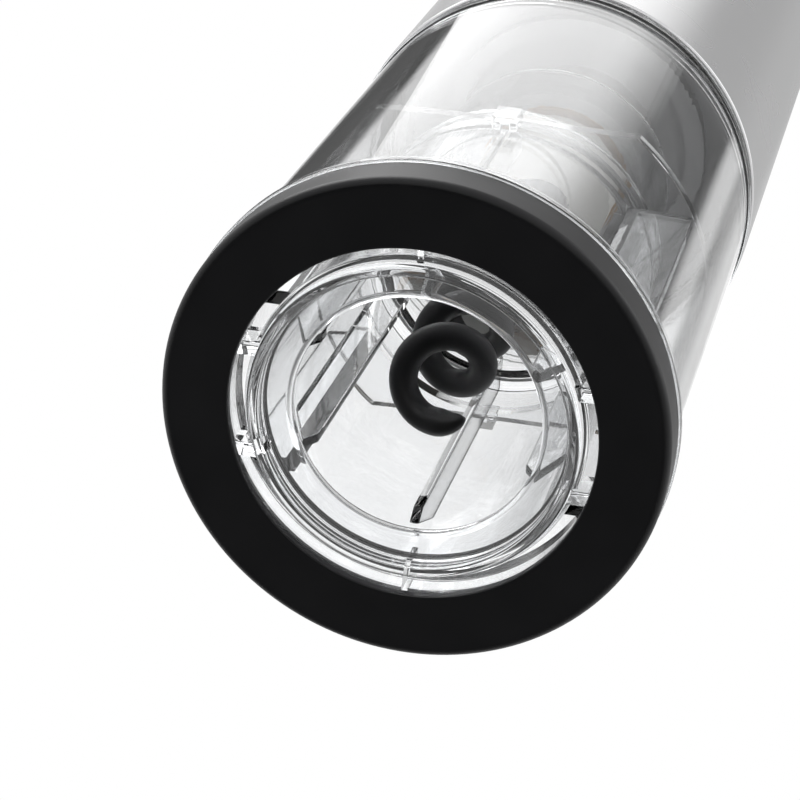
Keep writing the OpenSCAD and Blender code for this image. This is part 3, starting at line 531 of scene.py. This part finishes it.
class BuildBottleGuide(bpy.types.Operator):
    """Turns the bottle guide with its stop and adds the rim, bars, walls and ribs"""
    bl_idname = "opener.bottle_guide"
    bl_label = "Bottle guide"

    def execute(self, context):
        s = context.scene.opener_sizes
        bottom, plate = low("bottle_guide").z, high("bottle_guide").z
        top, outer, stop_t = bottom + 3.2 * MM, s.socket + 1.3 * MM, 1.4 * MM
        bead, bead_r = bottom + 1.2 * MM, outer + 0.45 * MM
        guide = turned("guide_ring_clear", rounded([
            (s.socket, bottom, 0.3 * MM), (outer, bottom, 0.6 * MM),
            (outer, bead, 0.1 * MM), (bead_r, bead + 0.15 * MM, 0.2 * MM),
            (bead_r, bead + 0.85 * MM, 0.2 * MM), (outer, bead + 1 * MM, 0.05 * MM),
            (outer, top, 0.1 * MM), (s.stop, top, 0.65 * MM), (s.stop, top - stop_t, 0.65 * MM),
            (s.socket, top - stop_t, 0.4 * MM)], 6))
        lip, ring_top, rim_top = bottom + 0.6 * MM, high("base_ring").z, high("base_ring").z + 1.4 * MM
        rim_r, rim_in = high("bottle_guide").x, s.ring_hole + 0.3 * MM
        rim = turned("rim", rounded([
            (rim_in, lip, 0.15 * MM), (rim_r, lip, 0.2 * MM), (rim_r, rim_top, 0.2 * MM),
            (rim_in, rim_top, 0.3 * MM)], 4))
        thick = 1.5 * MM

        # room for the cork sleeve, which stands on the guide
        room_r, room_top = outer + 0.05 * MM, 60 * MM
        room = turned("room", rounded([
            (0, top, 0), (room_r, top, 0), (room_r, room_top, 0), (0, room_top, 0)]), on_axis=True)
        combine(guide, rim)
        for part in (*rails("bar", s.bar_offset, lip + 0.05 * MM, ring_top, outer, rim_in + 1 * MM, thick),
                     *rails("wall", s.wall_offset, rim_top - 0.4 * MM, plate, outer, rim_r, thick)):
            combine(guide, part)
        for side in (-1, 1):
            rib = block("rib", (-0.3 * MM, side * (outer - 0.2 * MM), lip + 0.05 * MM),
                        (0.3 * MM, side * (rim_in + 1 * MM), rim_top - 0.1 * MM), 0.08 * MM, 1)
            combine(guide, rib)
        combine(guide, room, "DIFFERENCE")
        complete(guide, "Clear polycarbonate", "root", "clear_plastic", "bottle_guide", smooth=25)
        return {"FINISHED"}


def upright_shape(name, corners, thick, bevel):
    """A plate of even thickness that stands in the XZ plane, with its edges eased."""
    to_object_mode()
    (x, z), *others = corners
    bpy.ops.mesh.primitive_plane_add(size=MM, location=(x, -thick / 2, z))
    piece = bpy.context.active_object
    piece.name = piece.data.name = name
    bpy.ops.object.transform_apply(location=True, rotation=True, scale=True)
    bpy.ops.object.mode_set(mode="EDIT")
    bpy.ops.mesh.merge(type="CENTER")
    for nx, nz in others:
        bpy.ops.mesh.extrude_vertices_move(TRANSFORM_OT_translate={"value": (nx - x, 0, nz - z)})
        x, z = nx, nz
    bpy.ops.mesh.select_all(action="SELECT")
    bpy.ops.mesh.edge_face_add()
    bpy.ops.mesh.select_all(action="SELECT")
    bpy.ops.mesh.extrude_region_move(TRANSFORM_OT_translate={"value": (0, thick, 0)})
    bpy.ops.mesh.select_all(action="SELECT")
    bpy.ops.mesh.normals_make_consistent(inside=False)
    bpy.ops.mesh.bevel(offset=bevel, segments=2, affect="EDGES")
    bpy.ops.object.mode_set(mode="OBJECT")
    return piece


class BuildCorkSleeve(bpy.types.Operator):
    """Turns the clear cork sleeve and adds its fins and centring plate"""
    bl_idname = "opener.cork_sleeve"
    bl_label = "Cork sleeve"

    def execute(self, context):
        s = context.scene.opener_sizes
        bottom, top = low("cork_sleeve").z, high("cork_sleeve").z
        inner = s.socket - 0.1 * MM
        outer = inner + s.chamber_wall
        plate_low, plate_t = high("bottle_guide").z, 1.7 * MM
        shoulder = plate_low + 5.5 * MM
        neck, neck_in = 14.1 * MM, 12.7 * MM
        sleeve = turned("cork_sleeve_clear", rounded([
            (inner, bottom, 0.2 * MM), (outer, bottom, 0.2 * MM), (outer, shoulder + plate_t, 0.5 * MM),
            (neck, shoulder + plate_t, 0.5 * MM), (neck, top, 0.4 * MM), (neck_in, top, 0.4 * MM),
            (neck_in, shoulder, 0.4 * MM), (inner, shoulder, 0.5 * MM)], 5))
        root, fin_low, fin_top, fin_t = inner + 0.5 * MM, bottom + 0.4 * MM, shoulder + plate_t / 2, 1 * MM

        def fin(root_x, nose_x, edge_x):
            return upright_shape("fin", [
                (nose_x, fin_low), (root_x, fin_low + 8 * MM), (root_x, fin_top), (edge_x, fin_top),
                (edge_x, fin_low + 1.8 * MM)], fin_t, 0.18 * MM)

        for turn in (90, 270):
            piece = fin(root, s.stop, 11.2 * MM)
            turn_piece(piece, math.radians(turn))
            combine(sleeve, piece)
        for turn in (0, 180):
            for side in (-1, 1):
                piece = fin(*[chord(r, s.bar_offset) for r in (root, s.stop + 0.5 * MM, 11.75 * MM)])
                piece.location.y = side * s.bar_offset
                turn_piece(piece, 0)
                turn_piece(piece, math.radians(turn))
                combine(sleeve, piece)
        plate_r, flat = high("bottle_guide").x, 17.2 * MM
        plate = turned("plate", rounded([
            (outer - 0.3 * MM, plate_low, 0), (plate_r, plate_low, 0.2 * MM),
            (plate_r, plate_low + plate_t, 0.2 * MM), (outer - 0.3 * MM, plate_low + plate_t, 0)], 3))
        trim = block("trim", (-30 * MM, -flat, plate_low - 5 * MM), (30 * MM, flat, plate_low + 5 * MM))
        combine(plate, trim, "INTERSECT")
        combine(sleeve, plate)
        complete(sleeve, "Clear polycarbonate", "root", "clear_plastic", "cork_sleeve", smooth=25)
        return {"FINISHED"}


class BuildClips(bpy.types.Operator):
    """Rounds off the two retaining clips"""
    bl_idname = "opener.clips"
    bl_label = "Retaining clips"

    def execute(self, context):
        refined("retaining_clips", "Clear polycarbonate", "root", "clear_plastic", edge=0.08 * MM)
        return {"FINISHED"}


class BuildWorm(bpy.types.Operator):
    """Bends the worm from round wire, with a ground tip and a run-in to its shank"""
    bl_idname = "opener.worm"
    bl_label = "Worm"

    def execute(self, context):
        s = context.scene.opener_sizes
        tip_z, shank_top = 8 * MM, high("worm").z
        coil = 5 * MM - s.wire
        run_in, rise = math.radians(150), 4 * MM
        coil_angle = 2 * math.pi * s.turns
        coil_steps, run_steps, shank_steps = 220, 24, 4
        ground = math.radians(42)        # how far around the coil the tip is ground
        path = []
        for i in range(coil_steps + 1):
            a = coil_angle * i / coil_steps
            grow = min(1, a / ground)
            taper = 0.16 + 0.84 * grow ** 0.6
            path.append((coil + s.wire * (1 - taper) * 0.55, a, s.pitch * a / (2 * math.pi), taper))
        for i in range(1, run_steps + 1):
            u = i / run_steps
            inward = u * u * (3 - 2 * u)
            a = coil_angle + run_in * u
            path.append((coil * (1 - inward), a, s.pitch * a / (2 * math.pi) + rise * u * u, 1))
        last = path[-1]
        for i in range(1, shank_steps + 1):
            path.append((0, last[1], last[2] + (shank_top - tip_z - last[2]) * i / shank_steps, 1))
        to_object_mode()
        bpy.ops.curve.primitive_nurbs_path_add(location=(0, 0, 0))
        wire = context.active_object
        wire.name = "worm_coil"
        curve = wire.data
        curve.splines.clear()
        line = curve.splines.new("POLY")
        line.points.add(len(path) - 1)
        for point, (r, a, z, taper) in zip(line.points, path):
            t = a + s.tip_angle
            point.co = (r * math.cos(t), r * math.sin(t), tip_z + z, 1)
            point.radius = taper
        curve.dimensions = "3D"
        curve.bevel_depth = s.wire
        curve.bevel_resolution = 8
        curve.use_fill_caps = True
        bpy.ops.object.convert(target="MESH")
        worm = context.active_object
        bpy.ops.object.mode_set(mode="EDIT")
        bpy.ops.mesh.select_all(action="SELECT")
        bpy.ops.mesh.remove_doubles(threshold=0.001 * MM)
        bpy.ops.mesh.normals_make_consistent(inside=False)
        bpy.ops.object.mode_set(mode="OBJECT")
        complete(worm, "Worm coating", "worm_carriage", "worm_coating", "worm", smooth=60)
        return {"FINISHED"}


def upright_slot(name, width, height, y_from, y_to, z, segments=28):
    """A round-ended block that stands in the XZ plane."""
    slot = block(name, (-width / 2, y_from, z - height / 2), (width / 2, y_to, z + height / 2))
    along_edges(slot, 1, width / 2 - 0.01 * MM, segments)
    return slot


class BuildSteelSleeve(bpy.types.Operator):
    """Turns the steel sleeve and cuts the window of the bezel"""
    bl_idname = "opener.steel_sleeve"
    bl_label = "Steel sleeve"

    def execute(self, context):
        s = context.scene.opener_sizes
        (a, b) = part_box("steel_sleeve")
        r = b.x
        sleeve = turned("steel_sleeve_brushed", rounded([
            (r - s.sleeve_wall, a.z, 0.15 * MM), (r, a.z, 0.25 * MM), (r, b.z, 0.25 * MM),
            (r - s.sleeve_wall, b.z, 0.15 * MM)], 4), steps=192)
        window_w, window_h, window_z = 14 * MM, 38.3 * MM, 176 * MM
        window = upright_slot("window", window_w, window_h, -r - 1 * MM, -10 * MM, window_z)
        combine(sleeve, window, "DIFFERENCE")
        complete(sleeve, "Brushed steel", "root", "brushed_steel", "steel_sleeve", smooth=28)
        return {"FINISHED"}


class BuildBezel(bpy.types.Operator):
    """Smooths a copy of the bezel's CAD node, lip and button holes included, and eases its edges"""
    bl_idname = "opener.bezel"
    bl_label = "Switch bezel"

    def execute(self, context):
        refined("switch_bezel", "Black moulding", "root", "black_plastic", smooth=25, edge=0.12 * MM)
        return {"FINISHED"}


class BuildButtons(bpy.types.Operator):
    """Shapes the two buttons, each with a raised triangle that shows its direction"""
    bl_idname = "opener.buttons"
    bl_label = "Buttons"

    def execute(self, context):
        mark_r, mark_t, proud = 1.9 * MM, 0.5 * MM, 0.46 * MM
        for node, points_up in (("up_button", True), ("down_button", False)):
            refined(node, "Satin button", node, "button_grey", smooth=25, edge=0.2 * MM)
            a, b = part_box(node)
            z = (a.z + b.z) / 2
            to_object_mode()
            bpy.ops.mesh.primitive_cylinder_add(vertices=3, radius=mark_r, depth=mark_t,
                                                location=(0, a.y + proud, z),
                                                rotation=(math.pi / 2, 0, 0))
            mark = context.active_object
            mark.name = mark.data.name = node + "_mark"
            bpy.ops.object.transform_apply(location=True, rotation=True, scale=True)
            peak = max(v.co.z for v in mark.data.vertices) - z
            if (peak > 0.75 * mark_r) != points_up:
                bpy.ops.object.mode_set(mode="EDIT")
                bpy.ops.mesh.select_all(action="SELECT")
                bpy.ops.transform.resize(value=(1, 1, -1), center_override=(0, 0, z))
                bpy.ops.mesh.normals_make_consistent(inside=False)
                bpy.ops.object.mode_set(mode="OBJECT")
            along_edges(mark, 1, 0.35 * MM, 4)
            complete(mark, "Button mark", node, "button_grey", smooth=25)
        return {"FINISHED"}


class BuildBatteryCap(bpy.types.Operator):
    """Smooths a copy of the cap's CAD node, with its rounded top and inner posts, and turns its foot groove
    """
    bl_idname = "opener.battery_cap"
    bl_label = "Battery cap"

    def execute(self, context):
        cap = refined("battery_cap", "Black moulding", "cap", "black_plastic", smooth=25)
        groove_r, past_r, groove_low, groove_high = 24.25 * MM, 26 * MM, 239.6 * MM, 240.2 * MM
        groove = turned("groove", rounded([
            (groove_r, groove_low, 0.1 * MM), (past_r, groove_low, 0), (past_r, groove_high, 0),
            (groove_r, groove_high, 0.1 * MM)], 3), steps=128)
        combine(cap, groove, "DIFFERENCE")
        to_object_mode()
        cap.select_set(True)
        context.view_layer.objects.active = cap
        even_shading(cap, 25)
        return {"FINISHED"}


class DressInnerParts(bpy.types.Operator):
    """Gives every other CAD node its finish, and smooths the ones that show through the clear parts"""
    bl_idname = "opener.inner_parts"
    bl_label = "Inner parts"

    def execute(self, context):
        slots = {p["node"]: p["material_slot"] for p in frame["record"]["subparts"]}
        bodies = frame["record"]["behaviour"]["bodies"]
        body_of = {node: body for body, nodes in bodies.items() for node in nodes}
        for node, piece in frame["nodes"].items():
            material = bpy.data.materials[SLOT_FINISH[slots[node]]]
            for i in range(max(1, len(piece.material_slots))):
                if not piece.material_slots:
                    piece.data.materials.append(material)
                piece.material_slots[i].material = material
        for node in ("lower_chassis", "worm_carrier", "carrier_bush", "motor_case", "upper_chassis",
                     "battery_holder", "batteries", "gearbox_case", "cell_springs"):
            refined(node, SLOT_FINISH[slots[node]], body_of[node], slots[node])
        return {"FINISHED"}


# ---------------------------------------------------------------- stage

def floor_material():
    """Pale floor that shows from above and lets the view through from below."""
    made = bpy.data.materials.new("Pale floor")
    made.use_nodes = True
    tree = made.node_tree
    body = tree.nodes["Principled BSDF"]
    body.inputs["Base Color"].default_value = (0.86, 0.86, 0.86, 1)
    body.inputs["Roughness"].default_value = 0.7
    body.inputs["Specular IOR Level"].default_value = 0.2
    side = tree.nodes.new("ShaderNodeNewGeometry")
    through = tree.nodes.new("ShaderNodeBsdfTransparent")
    mix = tree.nodes.new("ShaderNodeMixShader")
    tree.links.new(side.outputs["Backfacing"], mix.inputs["Fac"])
    tree.links.new(body.outputs["BSDF"], mix.inputs[1])
    tree.links.new(through.outputs["BSDF"], mix.inputs[2])
    tree.links.new(mix.outputs["Shader"], tree.nodes["Material Output"].inputs["Surface"])
    return made


def brightness_ramp(tree, source, low_end, high_end, stops):
    """Turns a value between two ends into brightness, through (value, brightness) stops."""
    spread = tree.nodes.new("ShaderNodeMapRange")
    spread.inputs["From Min"].default_value = low_end
    spread.inputs["From Max"].default_value = high_end
    tree.links.new(source, spread.inputs["Value"])
    ramp = tree.nodes.new("ShaderNodeValToRGB")
    tree.links.new(spread.outputs["Result"], ramp.inputs["Fac"])
    marks = ramp.color_ramp.elements
    marks[0].color, marks[1].color = [(*[stops[i][1]] * 3, 1) for i in (0, -1)]
    for value, bright in stops[1:-1]:
        marks.new((value - low_end) / (high_end - low_end)).color = (bright, bright, bright, 1)
    return ramp.outputs["Color"]


def studio_world():
    """White for the view. Clear and metal pieces see soft surroundings with two dark panels overhead."""
    world = bpy.data.worlds.new("Studio")
    world.use_nodes = True
    tree = world.node_tree
    background = tree.nodes["Background"]
    place = tree.nodes.new("ShaderNodeTexCoord")
    split = tree.nodes.new("ShaderNodeSeparateXYZ")
    tree.links.new(place.outputs["Generated"], split.inputs["Vector"])

    def math_node(operation, first, second):
        node = tree.nodes.new("ShaderNodeMath")
        node.operation = operation
        for socket, value in zip(node.inputs, (first, second)):
            if isinstance(value, (int, float)):
                socket.default_value = value
            else:
                tree.links.new(value, socket)
        return node.outputs[0]

    def mixed(factor, first, second):
        node = tree.nodes.new("ShaderNodeMix")
        node.data_type = "RGBA"
        tree.links.new(factor, node.inputs["Factor"])
        for socket, value in (("A", first), ("B", second)):
            if isinstance(value, tuple):
                node.inputs[socket].default_value = value
            else:
                tree.links.new(value, node.inputs[socket])
        return node.outputs["Result"]

    def darkened(light, shade):
        node = tree.nodes.new("ShaderNodeVectorMath")
        node.operation = "MULTIPLY"
        tree.links.new(light, node.inputs[0])
        tree.links.new(shade, node.inputs[1])
        return node.outputs[0]

    # brightness by height: soft light for every ray, and a paler copy for sharp reflections
    height = split.outputs["Z"]
    around = brightness_ramp(tree, height, -1, 1, (
        (-1, 0.03), (-0.72, 0.05), (-0.32, 0.85), (0.2, 1.0), (0.7, 0.75), (1, 0.55)))
    mirrored = brightness_ramp(tree, height, -1, 1, ((-1, 0.7), (-0.5, 0.95), (0, 1.0), (1, 1.0)))

    # the panels, by bearing in degrees, stand only overhead
    bearing = math_node("ARCTAN2", split.outputs["X"], math_node("MULTIPLY", split.outputs["Y"], -1))
    degrees = math_node("MULTIPLY", bearing, 180 / math.pi)
    panels = brightness_ramp(tree, degrees, -180, 180, (
        (-180, 1.0), (-140, 1.0), (-126, 0.1), (-88, 0.12), (-83, 1.0), (28, 1.0), (62, 0.17), (110, 0.1),
        (117, 1.0), (128, 1.0), (135, 0.5), (150, 0.55), (158, 0.75), (180, 0.75)))
    overhead = brightness_ramp(tree, height, -1, 1, ((-1, 0), (0.6, 0), (0.8, 1), (1, 1)))
    white = (1, 1, 1, 1)
    sharp = darkened(mirrored, mixed(overhead, white, panels))
    soft = darkened(around, mixed(math_node("MULTIPLY", overhead, 0.2), white, panels))

    path = tree.nodes.new("ShaderNodeLightPath")
    seen = mixed(path.outputs["Is Glossy Ray"], around, soft)
    seen = mixed(path.outputs["Is Singular Ray"], seen, sharp)
    tree.links.new(mixed(path.outputs["Is Camera Ray"], seen, white), background.inputs["Color"])
    return world


def lamp(name, place, target, size, power):
    """A soft rectangular lamp that looks at a point."""
    to_object_mode()
    bpy.ops.object.light_add(type="AREA", location=place)
    made = bpy.context.active_object
    made.name = name
    made.data.shape = "RECTANGLE"
    made.data.size, made.data.size_y = size
    made.data.energy = power
    made.rotation_euler = (Vector(target) - Vector(place)).to_track_quat("-Z", "Y").to_euler()
    return made


def fade_lamp(light, start):
    """Lets a lamp's brightness run out towards one of its sides."""
    light.use_nodes = True
    tree = light.node_tree
    place = tree.nodes.new("ShaderNodeNewGeometry")
    split = tree.nodes.new("ShaderNodeSeparateXYZ")
    tree.links.new(place.outputs["Parametric"], split.inputs["Vector"])
    fade = tree.nodes.new("ShaderNodeMapRange")
    fade.inputs["From Min"].default_value = start
    fade.inputs["To Min"].default_value = 1
    fade.inputs["To Max"].default_value = 0
    tree.links.new(split.outputs["X"], fade.inputs["Value"])
    tree.links.new(fade.outputs["Result"], tree.nodes["Emission"].inputs["Strength"])


class BuildStage(bpy.types.Operator):
    """Sets the floor, the lamps, the surroundings and the camera"""
    bl_idname = "opener.stage"
    bl_label = "Stage"

    def execute(self, context):
        scene = context.scene
        scene.view_settings.view_transform = "Standard"

        # floor, open under the ring so that light reaches the opener's lower end
        to_object_mode()
        bpy.ops.mesh.primitive_circle_add(vertices=96, radius=24.6 * MM, location=(0, 0, -0.2 * MM))
        floor = context.active_object
        floor.name = floor.data.name = "floor"
        bpy.ops.object.transform_apply(location=True, rotation=True, scale=True)
        bpy.ops.object.mode_set(mode="EDIT")
        bpy.ops.mesh.select_all(action="SELECT")
        bpy.ops.mesh.extrude_edges_move()
        bpy.ops.transform.resize(value=(120, 120, 1), center_override=(0, 0, 0))
        bpy.ops.object.mode_set(mode="OBJECT")
        mesh = bmesh.new()
        mesh.from_mesh(floor.data)
        for face in mesh.faces:
            if face.normal.z < 0:
                face.normal_flip()
        mesh.to_mesh(floor.data)
        mesh.free()
        floor.data.materials.append(floor_material())

        scene.world = studio_world()

        # soft lamps
        lamp("key_lamp", (-0.55, -0.75, 0.75), (0, 0, 0.12), (0.9, 0.9), 8)
        lamp("fill_lamp", (0.8, -0.3, 0.5), (0, 0, 0.12), (0.8, 0.8), 2.5)
        lamp("under_lamp", (-0.35, -0.65, -0.35), (0, 0, 0.02), (0.5, 0.5), 3)
        lamp("back_lamp", (-0.2, 0.46, 0.95), (0, 0, 0.05), (0.5, 0.5), 0.2)
        top = lamp("top_lamp", (-0.075, -0.323, 1.07), (0, 0, 0.07), (0.78, 0.45), 1.1)
        fade_lamp(top.data, 0.75)

        # camera at the open end, looking up into the chamber
        to_object_mode()
        bpy.ops.object.camera_add(location=(46.6 * MM, -103.51 * MM, -208.74 * MM))
        camera = context.active_object
        ahead = Vector((-0.2014, 0.4256, 0.8822)).normalized()
        up = Vector((-0.1403, -0.9039, 0.4041))
        right = ahead.cross(up).normalized()
        up = right.cross(ahead)
        turn = Matrix((right, up, -ahead)).transposed().to_4x4()
        camera.matrix_world = Matrix.Translation(camera.location) @ turn
        camera.data.lens = 112.5
        camera.data.sensor_width = 36
        camera.data.clip_start = 0.01
        scene.camera = camera
        return {"FINISHED"}


# ---------------------------------------------------------------- add-on

PIECES = (BuildBlackRing, BuildOuterTube, BuildBottleGuide, BuildCorkSleeve, BuildClips, BuildWorm,
          BuildSteelSleeve, BuildBezel, BuildButtons, BuildBatteryCap, DressInnerParts, BuildStage)


class OpenerPanel(bpy.types.Panel):
    bl_idname = "VIEW3D_PT_opener"
    bl_label = "Wine opener"
    bl_space_type = "VIEW_3D"
    bl_region_type = "UI"
    bl_category = "Opener"

    def draw(self, context):
        for piece in PIECES:
            self.layout.operator(piece.bl_idname)
        for group in (context.scene.opener_sizes, context.scene.opener_colours):
            for name in group.__annotations__:
                self.layout.prop(group, name)


CLASSES = (OpenerSizes, OpenerColours, *PIECES, OpenerPanel)


def register():
    for c in CLASSES:
        bpy.utils.register_class(c)
    bpy.types.Scene.opener_sizes = PointerProperty(type=OpenerSizes)
    bpy.types.Scene.opener_colours = PointerProperty(type=OpenerColours)


def unregister():
    del bpy.types.Scene.opener_colours
    del bpy.types.Scene.opener_sizes
    for c in reversed(CLASSES):
        bpy.utils.unregister_class(c)


def main():
    register()
    materials()
    for piece in PIECES:
        group, name = piece.bl_idname.split(".")
        getattr(getattr(bpy.ops, group), name)()


if __name__ == "__main__":
    main()
